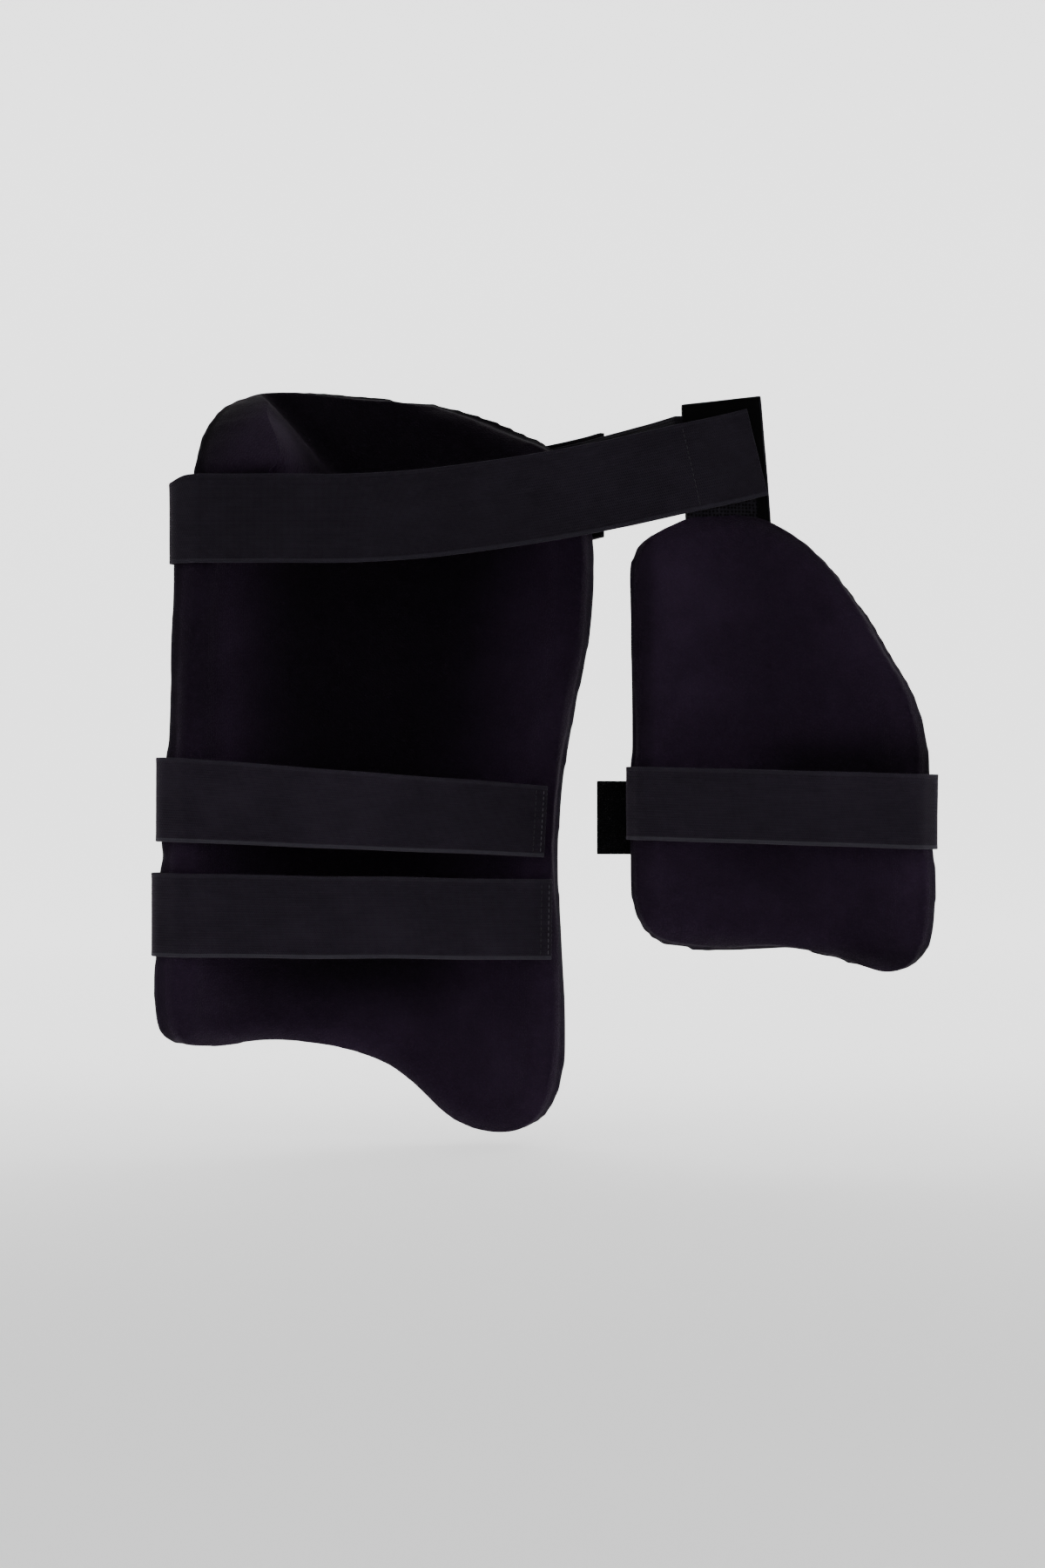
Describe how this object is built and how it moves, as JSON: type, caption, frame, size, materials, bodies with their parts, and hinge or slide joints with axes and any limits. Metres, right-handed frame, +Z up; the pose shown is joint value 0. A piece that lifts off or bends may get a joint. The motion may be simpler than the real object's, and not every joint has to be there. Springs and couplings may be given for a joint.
{
  "type": "cricket thigh guard",
  "caption": "Cricket thigh guard: a large moulded outer pad and a small inner pad hung from one elastic waist belt, each with elastic thigh straps",
  "frame": {"origin": "the middle of the waist belt's loop, at the height where the belt crosses the large pad", "axes": "+Z up the body, +X from the large pad to the small one, +Y away from the thighs, so the body side of both pads faces -Y"},
  "size_m": [0.4302, 0.163, 0.4286],
  "materials": {
    "pad_lining": "smooth matte stretch lining, black with a purple cast",
    "pad_cover": "matte black woven cover",
    "elastic": "ribbed knitted elastic, blue-black, matt",
    "webbing": "flat black tape and air mesh, matt"
  },
  "bodies": {
    "root": {"thigh_pad_liner": "pad_lining", "inner_pad_liner": "pad_lining", "thigh_pad_shell": "pad_cover", "inner_pad_shell": "pad_cover", "upper_thigh_strap": "elastic", "lower_thigh_strap": "elastic", "inner_pad_strap": "elastic", "waist_belt": "elastic", "inner_strap_tail": "webbing", "belt_hanger": "webbing", "belt_carrier": "webbing"}
  },
  "joints": []
}
